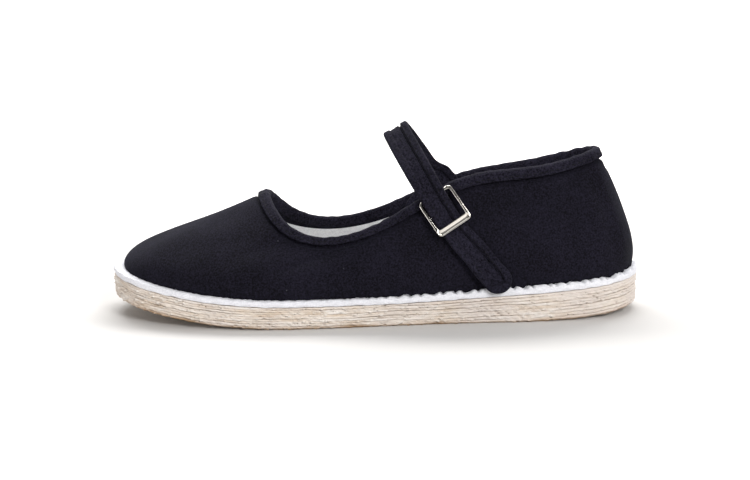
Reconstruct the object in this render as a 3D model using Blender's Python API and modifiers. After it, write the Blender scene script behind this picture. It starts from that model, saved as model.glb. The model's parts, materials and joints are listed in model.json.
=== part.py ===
"""A Chinese cloth shoe with one strap: a left shoe, standing empty on its layered sole.

Metres, +Z up. The toe points to -X, the outer side of the foot and the buckle face -Y,
and the sole stands on Z = 0. Every section of the shoe is one row of a short table,
whose numbers are shares of the sizes named here.
"""

import math

import bmesh
import bpy
import numpy as np
from mathutils import Matrix, Vector

MM = 0.001

SOLE_LENGTH = 250 * MM
BALL_WIDTH = 88 * MM
INSTEP_HEIGHT = 57.5 * MM
HEEL_HEIGHT = 76 * MM
TOE_SPRING = 10 * MM
HEEL_LIFT = 4.2 * MM
ARCH_LIFT = 1.2 * MM

FORE_STACK = 10 * MM
HEEL_STACK = 13.5 * MM
RIB_DEPTH = 0.6 * MM
TOP_PLY = 2.6 * MM
LEDGE = 3 * MM
INSOLE = 1.6 * MM

WALL = 1.8 * MM
GAP = 0.3 * MM
TAPE_WIDTH = 3 * MM
TAPE_WALL = 0.8 * MM

STRAP_WIDTH = 13 * MM
STRAP_EDGE = 3.7 * MM
STRAP_THICKNESS = 2.4 * MM
STRAP_HOLLOW = 0.4 * MM
STRAP_RISE = 34.5 * MM
STRAP_LEAN = math.radians(30)

BUCKLE_WIDTH = 17.4 * MM
BUCKLE_LENGTH = 18.5 * MM
BUCKLE_RAIL = 1.4 * MM
BUCKLE_LIP = 3.2 * MM
BUCKLE_THICKNESS = 1.4 * MM
BUCKLE_CORNER = 2 * MM
BUCKLE_ROUNDING = 0.3
BUCKLE_SIDE = 1 * MM
TAB_WALL = 0.8 * MM
TAB_WIDTH = 10 * MM
TAB_DEPTH = 10 * MM
TAB_ARCH = 2.9 * MM
BAR_OFF = TAPE_WALL + 2 * GAP + BUCKLE_THICKNESS / 2

SPLITS = 4
STRAP_SPLITS = 3

# Sole: x from the toe as a share of its length, y as a share of the ball width, the ledge
# outside the upper as a share of LEDGE. Topline: x and y likewise, its height as a share of
# the instep height plus a share of the heel height. Profile: how far the wall stands out low
# down (of the ball width) and up to where (of the rise), then how far it comes in from the
# topline (of the run) and down from it (of the rise).
SECTION_COLUMNS = (
    "name sole_x sole_y ledge top_x top_y instep heel low_out low_up high_in high_down"
)
SECTIONS = (
    ("toe", 0.000, 0.03, 1.7, 0.292, 0.00, 0.98, 0.00, 0.030, 0.32, 0.52, 0.47),
    ("toe_lateral", 0.030, -0.24, 1.4, 0.300, -0.13, 0.93, 0.00, 0.035, 0.32, 0.52, 0.46),
    ("vamp_lateral", 0.120, -0.42, 1.0, 0.325, -0.26, 0.80, 0.00, 0.040, 0.36, 0.42, 0.36),
    ("ball_lateral", 0.270, -0.51, 0.9, 0.390, -0.34, 0.67, 0.00, 0.040, 0.44, 0.28, 0.27),
    ("waist_lateral", 0.470, -0.47, 0.9, 0.520, -0.35, 0.80, 0.00, 0.035, 0.40, 0.20, 0.30),
    ("strap_lateral", 0.640, -0.41, 0.9, 0.650, -0.31, 0.36, 0.56, 0.035, 0.36, 0.20, 0.33),
    ("heel_lateral", 0.850, -0.36, 0.8, 0.810, -0.20, 0.00, 0.90, 0.030, 0.34, 0.30, 0.33),
    ("back_lateral", 0.970, -0.22, 0.8, 0.900, -0.11, 0.00, 0.97, 0.025, 0.32, 0.40, 0.33),
    ("back", 1.000, 0.00, 0.8, 0.922, 0.00, 0.00, 0.99, 0.025, 0.30, 0.45, 0.33),
    ("back_medial", 0.970, 0.21, 0.8, 0.900, 0.10, 0.00, 0.97, 0.025, 0.32, 0.40, 0.33),
    ("heel_medial", 0.850, 0.34, 0.8, 0.810, 0.19, 0.00, 0.89, 0.030, 0.34, 0.30, 0.33),
    ("strap_medial", 0.640, 0.35, 0.9, 0.650, 0.29, 0.36, 0.49, 0.035, 0.36, 0.20, 0.33),
    ("waist_medial", 0.480, 0.39, 0.9, 0.520, 0.33, 0.755, 0.00, 0.035, 0.40, 0.20, 0.30),
    ("ball_medial", 0.290, 0.49, 0.9, 0.390, 0.32, 0.67, 0.00, 0.040, 0.44, 0.28, 0.27),
    ("vamp_medial", 0.130, 0.43, 1.0, 0.325, 0.25, 0.80, 0.00, 0.040, 0.36, 0.42, 0.36),
    ("toe_medial", 0.030, 0.28, 1.4, 0.300, 0.13, 0.93, 0.00, 0.035, 0.32, 0.52, 0.46),
)

# Each ply from the ground up: its share of the stack, and how far its edge is set back.
PLY_COLUMNS = "name height set_back"
PLIES = (
    ("ground", 0.28, 0.4),
    ("second", 0.22, 0.0),
    ("third", 0.26, 0.3),
    ("fourth", 0.24, 0.1),
)
# The edge of one ply: height as a share of the ply, depth as a share of the rib.
PLY_EDGE = ((0.04, 1.0), (0.28, 0.15), (0.72, 0.0), (0.96, 0.8))

# Rows of the upper below its tape, as shares of the way up from the sole.
BODY_ROWS = (0.0, 0.07, 0.16, 0.27, 0.39, 0.51, 0.63, 0.75, 0.88)
TAPE_ROWS = (1.0, 0.5, 0.0)
RIM_ANGLES = (30, 90, 150)

# The strap from its sewn foot inside the inner side to its tail on the outer side. side is 0
# on the inner side and 1 on the outer side, round the place along the edge of the sole, up the
# place on the upper's profile, off the clearance from the wall as a share of the strap's
# thickness, turn the angle of its width to the topline, rise the height above the topline as
# a share of STRAP_RISE, front and rear its two half widths as shares of the strap's half width.
STRAP_COLUMNS = "name side round up off turn rise front rear"
STRAP_ROWS = (
    ("foot_end", 0, 0.706, 0.78, -1.15, 4, 0, 2.15, 2.30),
    ("foot", 0, 0.706, 0.90, -1.17, 4, 0, 2.20, 2.40),
    ("foot_top", 0, 0.706, 1.00, -1.12, 4, 0, 2.05, 2.30),
    ("flare_low", 0, 0.706, 1.06, -0.95, 5, 0, 1.60, 1.95),
    ("flare", 0, 0.706, 1.14, -0.85, 6, 0, 1.15, 1.52),
    ("inner_low", 0.045, 0, 0, 0, 30, 0.29, 0.80, 1.50),
    ("inner_rise", 0.16, 0, 0, 0, 31, 0.57, 0.72, 1.34),
    ("inner_top", 0.33, 0, 0, 0, 34, 0.86, 0.84, 1.18),
    ("top", 0.48, 0, 0, 0, 36, 1.00, 0.96, 1.04),
    ("outer_top", 0.63, 0, 0, 0, 35, 0.85, 1.00, 1.00),
    ("outer_rise", 0.80, 0, 0, 0, 32, 0.57, 1.00, 1.00),
    ("outer_low", 0.93, 0, 0, 0, 31, 0.28, 0.98, 0.98),
    ("bar", 1, 0.2934, 1.00, 2.36, 4, 0, 0.95, 0.95),
    ("frame", 1, 0.3058, 0.775, 1.62, 8, 0, 0.93, 0.95),
    ("lip", 1, 0.3160, 0.61, 0.95, 10, 0, 0.93, 0.95),
    ("tail_high", 1, 0.3265, 0.47, 0.95, 20, 0, 1.00, 1.00),
    ("tail", 1, 0.3382, 0.33, 0.95, 25, 0, 1.02, 1.02),
    ("tail_low", 1, 0.3453, 0.23, 0.95, 28, 0, 1.03, 1.03),
    ("tail_turn", 1, 0.3540, 0.12, 1.10, 30, 0, 0.99, 0.99),
    ("tail_round", 1, 0.3590, 0.06, 1.50, 30, 0, 0.78, 0.78),
    ("tail_end", 1, 0.3618, 0.02, 1.95, 30, 0, 0.40, 0.40),
)


def columns_of(names, rows):
    """Each named column of a table as one array."""
    return {
        name: np.array([row[i] for row in rows])
        for i, name in enumerate(names.split())
        if i
    }


def closed_spline(knots, values, period):
    """A closed curve through the values that is smooth in slope and in bend."""
    count = len(knots)
    gaps = np.diff(np.append(knots, knots[0] + period))
    before = np.roll(gaps, 1)
    matrix = np.zeros((count, count))
    for i in range(count):
        matrix[i, i] = 2 * (before[i] + gaps[i])
        matrix[i, (i - 1) % count] += before[i]
        matrix[i, (i + 1) % count] += gaps[i]
    slopes = (np.roll(values, -1) - values) / gaps
    bends = np.linalg.solve(matrix, 6 * (slopes - np.roll(slopes, 1)))

    def at(place):
        place = np.mod(np.asarray(place, float), period)
        i = np.searchsorted(knots, place, side="right") - 1
        j = (i + 1) % count
        gap = gaps[i]
        after = place - knots[i]
        left = gap - after
        return (
            (bends[i] * left**3 + bends[j] * after**3) / (6 * gap)
            + (values[i] / gap - bends[i] * gap / 6) * left
            + (values[j] / gap - bends[j] * gap / 6) * after
        )

    return at


SECTION = columns_of(SECTION_COLUMNS, SECTIONS)
EDGE_X = SECTION["sole_x"] * SOLE_LENGTH
EDGE_Y = SECTION["sole_y"] * BALL_WIDTH
CHORDS = np.hypot(np.roll(EDGE_X, -1) - EDGE_X, np.roll(EDGE_Y, -1) - EDGE_Y)
ROUND = CHORDS.sum()
KNOTS = np.append(0, np.cumsum(CHORDS)[:-1])
AT = {name: closed_spline(KNOTS, column, ROUND) for name, column in SECTION.items()}
STATIONS = np.concatenate(
    [k + c * np.arange(SPLITS) / SPLITS for k, c in zip(KNOTS, CHORDS)]
)
FINE = np.linspace(0, ROUND, len(STATIONS) * 20)
MIDDLE = np.array(
    [
        (AT[name](FINE).min() + AT[name](FINE).max()) / 2
        for name in ("sole_x", "sole_y")
    ]
)


def unit(vectors):
    return vectors / np.linalg.norm(vectors, axis=-1, keepdims=True)


def plan(x_name, y_name, place):
    """Ground plan of one line of the shoe, centred on the sole."""
    return np.stack(
        [
            (AT[x_name](place) - MIDDLE[0]) * SOLE_LENGTH,
            (AT[y_name](place) - MIDDLE[1]) * BALL_WIDTH,
        ],
        axis=-1,
    )


def outward(place):
    """Level direction pointing away from the sole's edge."""
    step = 0.5 * MM
    along = unit(
        plan("sole_x", "sole_y", place + step) - plan("sole_x", "sole_y", place - step)
    )
    return np.stack([along[..., 1], -along[..., 0]], axis=-1)


def eased(share):
    share = np.clip(share, 0, 1)
    return share * share * (3 - 2 * share)


def ground(x, y):
    """Height of the tread: flat under the ball and the heel, lifted at both ends."""
    share = x / SOLE_LENGTH + 0.5
    toe = TOE_SPRING * np.clip((0.36 - share) / 0.36, 0, 1) ** 2
    heel = HEEL_LIFT * np.clip((share - 0.78) / 0.22, 0, 1) ** 2
    waist = eased(1 - np.abs(share - 0.58) / 0.11)
    return toe + heel + ARCH_LIFT * waist * eased(2 * y / BALL_WIDTH)


def stack_top(x):
    share = x / SOLE_LENGTH + 0.5
    thickness = FORE_STACK + (HEEL_STACK - FORE_STACK) * eased((share - 0.5) / 0.4)
    return ground(x, -BALL_WIDTH) + thickness


def ply_top(x):
    return stack_top(x) + GAP + TOP_PLY


def inset_edge(place, inset):
    return plan("sole_x", "sole_y", place) - outward(place) * np.asarray(inset)[..., None]


def raised(points, height):
    """Plan points lifted to a height worked out from their x."""
    return np.concatenate([points, height(points[..., 0])[..., None]], axis=-1)


def feather(place):
    """Lower edge of the upper's outer face."""
    edge = inset_edge(place, AT["ledge"](place) * LEDGE)
    return raised(edge, lambda x: ply_top(x) + GAP)


def topline(place):
    height = AT["instep"](place) * INSTEP_HEIGHT + AT["heel"](place) * HEEL_HEIGHT
    return np.concatenate([plan("top_x", "top_y", place), height[..., None]], axis=-1)


def controls(place):
    """The four control points of the profile at a place round the shoe."""
    low, high = feather(place), topline(place)
    span = high - low
    rise = span * [0, 0, 1]
    run = span * [1, 1, 0]
    out = np.concatenate([outward(place), np.zeros(place.shape + (1,))], axis=-1)
    share = {name: AT[name](place)[..., None] for name in AT}
    below = low + out * share["low_out"] * BALL_WIDTH + rise * share["low_up"]
    above = high - run * share["high_in"] - rise * share["high_down"]
    return low, below, above, high


def profile(place, up):
    low, below, above, high = controls(place)
    up = np.asarray(up)[..., None]
    down = 1 - up
    return (
        low * down**3
        + below * 3 * up * down**2
        + above * 3 * up**2 * down
        + high * up**3
    )


def wall_frame(place, up):
    """Unit vectors of the wall: along the shoe, up the profile, outward; and both speeds."""
    step, climb = 0.5 * MM, 0.01
    along = profile(place + step, up) - profile(place - step, up)
    upward = profile(place, up + climb) - profile(place, up - climb)
    out = unit(np.cross(along, upward))
    speeds = (
        np.linalg.norm(along, axis=-1) / (2 * step),
        np.linalg.norm(upward, axis=-1) / (2 * climb),
    )
    return unit(along), unit(upward), out, speeds


def skin(place, up, off):
    """A point off the upper's outer face by so much."""
    place, up = np.broadcast_arrays(np.asarray(place, float), np.asarray(up, float))
    _, _, out, _ = wall_frame(place, up)
    return profile(place, up) + out * np.asarray(off)[..., None]


def tape_share(place):
    """How much of the profile the tape covers."""
    _, _, above, high = controls(place)
    return TAPE_WIDTH / (3 * np.linalg.norm(high - above, axis=-1))


def material(name, colour, roughness, metallic=0.0):
    made = bpy.data.materials.new(name)
    made.use_nodes = True
    shader = made.node_tree.nodes["Principled BSDF"]
    shader.inputs["Base Color"].default_value = (*colour, 1)
    shader.inputs["Roughness"].default_value = roughness
    shader.inputs["Metallic"].default_value = metallic
    return made


def add_node(name, points, faces, look):
    """A smooth mesh object with a material."""
    mesh = bpy.data.meshes.new(name)
    mesh.from_pydata([tuple(map(float, p)) for p in points], [], faces)
    mesh.shade_smooth()
    mesh.materials.append(look)
    node = bpy.data.objects.new(name, mesh)
    SHOE.objects.link(node)
    return node


def grid_faces(rows, columns, closed):
    """Quads over a grid of points, whose columns may run round into the first."""
    last = columns if closed else columns - 1
    return [
        (
            row * columns + column,
            row * columns + (column + 1) % columns,
            (row + 1) * columns + (column + 1) % columns,
            (row + 1) * columns + column,
        )
        for row in range(rows - 1)
        for column in range(last)
    ]


def end_faces(first, count):
    """A cap of strips that join the two sides of a ring."""
    half = count // 2
    strips = [(first, first + 1, first + count - 1)]
    strips += [
        (first + i, first + i + 1, first + count - i - 1, first + count - i)
        for i in range(1, half - 1)
    ]
    return strips + [(first + half - 1, first + half, first + half + 1)]


def loft(name, rings, look):
    """A solid through closed rings, capped at both ends, with its faces turned outward."""
    count = len(rings[0])
    faces = grid_faces(len(rings), count, closed=True)
    faces += end_faces(0, count)
    faces += end_faces((len(rings) - 1) * count, count)
    node = add_node(name, np.concatenate(rings), faces, look)
    made = bmesh.new()
    made.from_mesh(node.data)
    bmesh.ops.recalc_face_normals(made, faces=made.faces)
    made.to_mesh(node.data)
    made.free()
    return node


def sheet(name, rows, look, wall, closed):
    """An open sheet given its wall thickness on the side its faces look to."""
    grid = np.stack(rows)
    faces = grid_faces(grid.shape[0], grid.shape[1], closed)
    node = add_node(name, grid.reshape(-1, 3), faces, look)
    solid = node.modifiers.new("wall", "SOLIDIFY")
    solid.thickness = abs(wall)
    solid.offset = math.copysign(1, wall)
    solid.use_even_offset = True
    return node


def make_sole(look):
    """Stacked plies of cloth, each with its own soft edge, flat on the ground."""
    rings = []
    base = 0
    for _, height, set_back in PLIES:
        for share, depth in PLY_EDGE:
            edge = inset_edge(STATIONS, np.full(STATIONS.shape, (set_back + depth) * RIB_DEPTH))
            level = base + height * share
            low = ground(edge[:, 0], edge[:, 1])
            z = low + (stack_top(edge[:, 0]) - low) * level
            rings.append(np.column_stack([edge, z]))
        base += height
    bottom = rings[0].copy()
    bottom[:, 2] = ground(bottom[:, 0], bottom[:, 1])
    top = rings[-1].copy()
    top[:, 2] = stack_top(top[:, 0])
    return loft("sole", [bottom, *rings, top], look)


def make_top_ply(look):
    """The bound ply that the upper is sewn to, with a rounded edge."""
    rings = []
    for level, inset in ((0, 0.5), (0.2, 0.1), (0.6, 0), (0.9, 0.25), (1, 0.8)):
        edge = inset_edge(STATIONS, np.full(STATIONS.shape, inset * RIB_DEPTH))
        rings.append(raised(edge, lambda x: stack_top(x) + GAP + TOP_PLY * level))
    return loft("top_ply", rings, look)


def make_insole(look):
    """A thin lining board inside the upper."""
    rings = []
    for level, inset in ((0, 1), (0.7, 1), (1, 2)):
        clear = AT["ledge"](STATIONS) * LEDGE + WALL + GAP + inset * GAP
        edge = inset_edge(STATIONS, clear)
        rings.append(raised(edge, lambda x: ply_top(x) + GAP + INSOLE * level))
    return loft("insole", rings, look)


def make_upper(look):
    """The cloth shell, open at the topline and underneath."""
    tape = tape_share(STATIONS)
    ups = [row * (1 - tape) for row in BODY_ROWS] + [1 - row * tape for row in TAPE_ROWS]
    rows = [profile(STATIONS, up) for up in ups]
    return sheet("upper", rows, look, -WALL, closed=True)


def make_binding(look):
    """Tape folded over the topline, on both faces of the wall."""
    tape = tape_share(STATIONS)
    _, climb, _, _ = wall_frame(STATIONS, np.ones(STATIONS.shape))
    rows = [skin(STATIONS, 1 - row * tape, np.full(STATIONS.shape, GAP)) for row in TAPE_ROWS]
    reach = WALL / 2 + GAP
    for angle in np.radians(RIM_ANGLES):
        off = np.full(STATIONS.shape, reach * math.cos(angle) - WALL / 2)
        rows.append(skin(STATIONS, np.ones(STATIONS.shape), off) + climb * reach * math.sin(angle))
    rows += [
        skin(STATIONS, 1 - row * tape, np.full(STATIONS.shape, -WALL - GAP))
        for row in reversed(TAPE_ROWS)
    ]
    return sheet("topline_binding", rows, look, TAPE_WALL, closed=True)


def strap_section(front, rear):
    """Across the strap, rear edge to front edge and back: width and depth at each point."""
    deep = STRAP_THICKNESS / 2
    edge = ((0, 0), (0.25, 0.75), (0.8, 1), (STRAP_EDGE / MM - 0.2, 1))
    half = [(at * MM, depth * deep) for at, depth in edge]
    half.append((STRAP_EDGE + 0.3 * MM, deep - STRAP_HOLLOW))
    above = [(rear - at, depth) for at, depth in half]
    above += [(at - front, depth) for at, depth in reversed(half)]
    below = [(width, -depth) for width, depth in reversed(above[1:-1])]
    return above + below


def strap_row(name):
    return next(row for row in STRAP_ROWS if row[0] == name)


def wall_axes(row):
    """Across the strap, up the wall and outward, at a row that lies on the wall."""
    _, side, around, up, _, turn, *_ = row
    along, climb, out, _ = wall_frame(np.array(around * ROUND), np.array(up))
    heelward = along if side else -along
    angle = math.radians(turn)
    width = unit(heelward * math.cos(angle) + climb * math.sin(angle))
    return width, unit(climb - width * np.dot(climb, width)), out


def strap_mid(row):
    """Centre of the strap and its width direction at one row."""
    _, side, around, up, off, turn, rise, *_ = row
    if side in (0, 1):
        clear = off * STRAP_THICKNESS - (0 if side else WALL)
        return skin(np.array(around * ROUND), np.array(up), clear), wall_axes(row)[0]
    inner, outer = strap_mid(strap_row("foot_top"))[0], strap_mid(strap_row("bar"))[0]
    lean = np.array([-math.sin(STRAP_LEAN), 0, math.cos(STRAP_LEAN)])
    centre = inner * (1 - side) + outer * side + lean * rise * STRAP_RISE
    slope = math.radians(turn)
    return centre, np.array([math.cos(slope), 0, math.sin(slope)])


def strap_frames():
    """Centre, width direction and outward direction of the strap at every row."""
    mids = [strap_mid(row) for row in STRAP_ROWS]
    travel = unit(np.gradient(np.array([mid for mid, _ in mids]), axis=0))
    frames = {}
    for row, (centre, width), along in zip(STRAP_ROWS, mids, travel):
        width = unit(width - along * np.dot(width, along))
        frames[row[0]] = (centre, width, np.cross(along, width))
    return frames


def strap_points(row, centre, width, out):
    """One section of the strap, bent with the wall where it is sewn inside it."""
    _, side, around, up, off, turn, _, front, rear = row
    half = STRAP_WIDTH / 2
    section = np.array(strap_section(front * half, rear * half))
    across, depth = section[:, 0], section[:, 1]
    if side != 0:
        return centre + width * across[:, None] + out * depth[:, None]
    place, height = np.array(around * ROUND), np.array(up)
    round_speed, climb_speed = wall_frame(place, height)[3]
    angle = math.radians(turn)
    return skin(
        place - across * math.cos(angle) / round_speed,
        height + across * math.sin(angle) / climb_speed,
        off * STRAP_THICKNESS - WALL + depth,
    )


def between(rows, splits):
    """Rows with smooth steps added between them."""
    rows = [2 * rows[0] - rows[1], *rows, 2 * rows[-1] - rows[-2]]
    made = []
    for a, b, c, d in zip(rows, rows[1:], rows[2:], rows[3:]):
        for t in np.arange(splits) / splits:
            made.append(
                b
                + (c - a) * t / 2
                + (2 * a - 5 * b + 4 * c - d) * t**2 / 2
                + (3 * b - a - 3 * c + d) * t**3 / 2
            )
    return [*made, rows[-2]]


def make_strap(look):
    """One band with bound edges, from its flared foot over the instep to its round tail."""
    frames = strap_frames()
    rings = [strap_points(row, *frames[row[0]]) for row in STRAP_ROWS]
    return loft("strap", between(rings, STRAP_SPLITS), look)


def placement(origin, across, upward, out):
    axes = Matrix([Vector(across), Vector(upward), Vector(out)]).transposed().to_4x4()
    return Matrix.Translation(Vector(origin)) @ axes


def bar_placement():
    """Middle of the buckle's hidden bar: X across the strap, Y up the wall, Z outward."""
    row = strap_row("bar")
    centre = skin(np.array(row[2] * ROUND), np.array(row[3]), BAR_OFF)
    return placement(centre, *wall_axes(row))


def buckle_placement(bar):
    """The frame hangs on its bar and its lip clears the outer face of the strap."""
    centre, _, out = strap_frames()["lip"]
    lip = centre + out * (STRAP_THICKNESS / 2 + 4.5 * GAP + BUCKLE_THICKNESS / 2)
    origin = np.array(bar.translation)
    upward = unit(origin - lip)
    across = np.array(bar.col[0].to_3d())
    across = unit(across - upward * np.dot(across, upward))
    foot = origin - upward * (BUCKLE_LENGTH - BUCKLE_RAIL / 2) + across * BUCKLE_SIDE
    return placement(foot, across, upward, np.cross(across, upward))


def rounded_rectangle(width, low, high, radius, corner_points=5):
    """Outline of a plate from height low to high, going round from its right-hand foot."""
    points = []
    corners = (
        (width / 2 - radius, low + radius, -90),
        (width / 2 - radius, high - radius, 0),
        (radius - width / 2, high - radius, 90),
        (radius - width / 2, low + radius, 180),
    )
    for x, y, start in corners:
        for i in range(corner_points):
            angle = math.radians(start + 90 * i / (corner_points - 1))
            points.append((x + radius * math.cos(angle), y + radius * math.sin(angle)))
    return points


def make_buckle(look):
    """A flat frame: its narrow bar under the strap, its wide lip over the strap."""
    outer = rounded_rectangle(BUCKLE_WIDTH, 0, BUCKLE_LENGTH, BUCKLE_CORNER)
    inner = rounded_rectangle(
        BUCKLE_WIDTH - 2 * BUCKLE_RAIL,
        BUCKLE_LIP,
        BUCKLE_LENGTH - BUCKLE_RAIL,
        BUCKLE_CORNER - BUCKLE_RAIL / 2,
    )
    frame = buckle_placement(bar_placement())
    rows = [np.array([frame @ Vector((x, y, 0)) for x, y in ring]) for ring in (outer, inner)]
    node = sheet("buckle", rows, look, BUCKLE_THICKNESS, closed=True)
    node.modifiers["wall"].offset = 0
    rounded = node.modifiers.new("edges", "BEVEL")
    rounded.width = BUCKLE_THICKNESS * BUCKLE_ROUNDING
    rounded.segments = 2
    rounded.limit_method = "ANGLE"
    return node


def make_tab(look):
    """A short loop from inside the outer side, over the topline and round the buckle's bar."""
    frame = bar_placement()
    inside = -BAR_OFF - WALL - 3 * GAP - TAPE_WALL
    rim = -BAR_OFF - WALL / 2
    path = [(inside, -TAB_DEPTH), (inside, -TAB_DEPTH / 2), (inside, 0)]
    for angle in (150, 110, 70):
        turn = math.radians(angle)
        path.append((rim + TAB_ARCH * math.cos(turn), TAB_ARCH * math.sin(turn)))
    for angle in (70, 35, 0, -35, -70, -100):
        turn = math.radians(angle)
        wrap = BUCKLE_THICKNESS / 2 + 1.5 * GAP
        path.append((wrap * math.cos(turn), wrap * math.sin(turn)))
    rows = [
        np.array([frame @ Vector((side * TAB_WIDTH / 2, y, z)) for z, y in path])
        for side in (-1, 1)
    ]
    return sheet("buckle_tab", rows, look, TAB_WALL, closed=False)


for old in list(bpy.data.objects):
    bpy.data.objects.remove(old)
bpy.context.scene.unit_settings.system = "METRIC"

SHOE = bpy.data.collections.new("cloth_shoe")
bpy.context.scene.collection.children.link(SHOE)

black_cloth = material("black_cotton", (0.012, 0.012, 0.017), 0.9)
black_tape = material("black_cotton_tape", (0.02, 0.02, 0.025), 0.85)
white_cloth = material("white_cotton", (0.8, 0.8, 0.82), 0.9)
cream_plies = material("layered_cotton", (0.72, 0.66, 0.56), 0.95)
grey_lining = material("cotton_lining", (0.6, 0.6, 0.62), 0.95)
nickel = material("nickel_plate", (0.75, 0.74, 0.7), 0.2, metallic=1.0)

make_sole(cream_plies)
make_top_ply(white_cloth)
make_insole(grey_lining)
make_upper(black_cloth)
make_binding(black_tape)
make_strap(black_cloth)
make_buckle(nickel)
make_tab(black_tape)
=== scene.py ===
# %% [markdown]
# # A Chinese cloth shoe with one strap
# This lesson dresses a finished CAD model of a left shoe. The model gives every piece its
# true place and size, in metres. Each cell models one piece of the shoe over its CAD solid,
# and then gives it the cloth, thread or metal that the real one is made of.
# The toe points to -X, the outer side of the foot faces -Y, and the floor is at Z = 0.

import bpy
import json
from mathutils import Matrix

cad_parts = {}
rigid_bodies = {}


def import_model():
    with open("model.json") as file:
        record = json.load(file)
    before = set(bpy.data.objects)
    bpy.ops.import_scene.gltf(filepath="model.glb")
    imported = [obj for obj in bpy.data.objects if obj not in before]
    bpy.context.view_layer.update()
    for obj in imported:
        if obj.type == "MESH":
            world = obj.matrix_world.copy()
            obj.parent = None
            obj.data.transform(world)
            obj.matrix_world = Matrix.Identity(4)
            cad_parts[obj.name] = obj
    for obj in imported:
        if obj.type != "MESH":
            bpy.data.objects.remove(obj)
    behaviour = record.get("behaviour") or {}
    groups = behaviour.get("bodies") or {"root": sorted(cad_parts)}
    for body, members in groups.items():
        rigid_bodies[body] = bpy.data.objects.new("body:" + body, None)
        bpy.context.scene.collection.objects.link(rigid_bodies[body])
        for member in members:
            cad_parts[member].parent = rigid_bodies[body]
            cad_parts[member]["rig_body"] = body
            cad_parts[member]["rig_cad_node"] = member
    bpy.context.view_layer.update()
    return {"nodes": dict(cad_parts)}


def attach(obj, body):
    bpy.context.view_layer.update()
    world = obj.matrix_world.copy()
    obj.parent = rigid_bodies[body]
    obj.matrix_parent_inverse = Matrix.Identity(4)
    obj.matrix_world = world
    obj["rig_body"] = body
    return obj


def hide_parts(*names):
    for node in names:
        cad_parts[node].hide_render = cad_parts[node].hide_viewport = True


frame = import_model()

import json
import math
from contextlib import contextmanager

import bmesh
import bpy
import numpy as np
from mathutils import Matrix, Vector
from mathutils.kdtree import KDTree

MM = 0.001
print("solids in the frame:", ", ".join(sorted(frame["nodes"])))

# %% [markdown]
# ## The camera
# The camera looks at the outer side of the shoe from a little above, through a long lens
# that keeps the sole straight. Its slight roll is the one that the photograph has.

# %% Camera
CAMERA_PLACE = (0, -0.600, 0.1445)
CAMERA_TILT = math.radians(10.55)
CAMERA_ROLL = math.radians(-0.45)
CAMERA_LENS = 61.34
SENSOR_WIDTH = 36

scene = bpy.context.scene
camera = bpy.data.objects.new("camera", bpy.data.cameras.new("camera"))
scene.collection.objects.link(camera)
camera.data.sensor_width = SENSOR_WIDTH
camera.data.lens = CAMERA_LENS
camera.data.clip_start = 0.01
camera.matrix_world = (
    Matrix.Translation(CAMERA_PLACE)
    @ Matrix.Rotation(math.pi / 2 - CAMERA_TILT, 4, "X")
    @ Matrix.Rotation(CAMERA_ROLL, 4, "Z")
)
scene.camera = camera
scene.view_settings.view_transform = "Standard"
print("camera at", CAMERA_PLACE, "with a lens of", CAMERA_LENS, "mm")

# %% [markdown]
# ## A few helpers
# The same steps come back for every piece: going into edit mode, writing a colour, adding a
# shader node with its settings and links. Each gets one small function, so that the cells
# below hold only what is special to a piece.

# %% Helpers
@contextmanager
def editing(obj):
    """Edit mode on one object alone, with nothing in it selected."""
    bpy.ops.object.select_all(action="DESELECT")
    obj.select_set(True)
    bpy.context.view_layer.objects.active = obj
    bpy.ops.object.mode_set(mode="EDIT")
    bpy.ops.mesh.select_all(action="DESELECT")
    yield bmesh.from_edit_mesh(obj.data)
    bpy.ops.object.mode_set(mode="OBJECT")


def srgb(hex_colour):
    """A colour written as sRGB hex, turned to the linear values that a shader takes."""
    shares = [int(hex_colour[i : i + 2], 16) / 255 for i in (1, 3, 5)]
    linear = [c / 12.92 if c <= 0.04045 else ((c + 0.055) / 1.055) ** 2.4 for c in shares]
    return (*linear, 1)


def put(tree, kind, inputs=None, **settings):
    """One node with its settings; an input takes a value, or the socket it is linked from."""
    node = tree.nodes.new(kind)
    for name, value in settings.items():
        setattr(node, name, value)
    for name, value in (inputs or {}).items():
        if isinstance(value, bpy.types.NodeSocket):
            tree.links.new(value, node.inputs[name])
        else:
            node.inputs[name].default_value = value
    return node


def new_material(name, **surface):
    """A material with one Principled shader; the keywords are values of its own sockets."""
    material = bpy.data.materials.new(name)
    material.use_nodes = True
    shader = material.node_tree.nodes["Principled BSDF"]
    for socket, value in surface.items():
        shader.inputs[socket.replace("_", " ")].default_value = value
    return material, material.node_tree, shader


def paint(obj, *materials):
    """The object's material slots, in this order."""
    obj.data.materials.clear()
    for material in materials:
        obj.data.materials.append(material)


def ranged(tree, value, low, high, to_low=0, to_high=1):
    """A value brought from one range to another, and held inside it."""
    ranges = {"From Min": low, "From Max": high, "To Min": to_low, "To Max": to_high}
    return put(tree, "ShaderNodeMapRange", {"Value": value, **ranges}).outputs["Result"]


def mixed(tree, share, first, second):
    """Two colours mixed by a share from 0 to 1."""
    inputs = {0: share, 6: first, 7: second}
    return put(tree, "ShaderNodeMix", inputs, data_type="RGBA").outputs[2]


def math_of(tree, operation, *values):
    """One step of arithmetic on values and sockets."""
    inputs = dict(enumerate(values))
    return put(tree, "ShaderNodeMath", inputs, operation=operation).outputs["Value"]


def noise(tree, place, scale, detail, roughness=0.5):
    """Cloudy noise; its patches are about 1 / scale metres wide."""
    inputs = {"Vector": place, "Scale": scale, "Detail": detail, "Roughness": roughness}
    return put(tree, "ShaderNodeTexNoise", inputs).outputs["Fac"]


def relief(tree, height, strength, distance, **below):
    """Normals bent by a height; distance is its full depth in metres."""
    inputs = {"Height": height, "Strength": strength, "Distance": distance, **below}
    return put(tree, "ShaderNodeBump", inputs).outputs["Normal"]


print("mid grey in linear light:", round(srgb("#808080")[0], 3))

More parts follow.
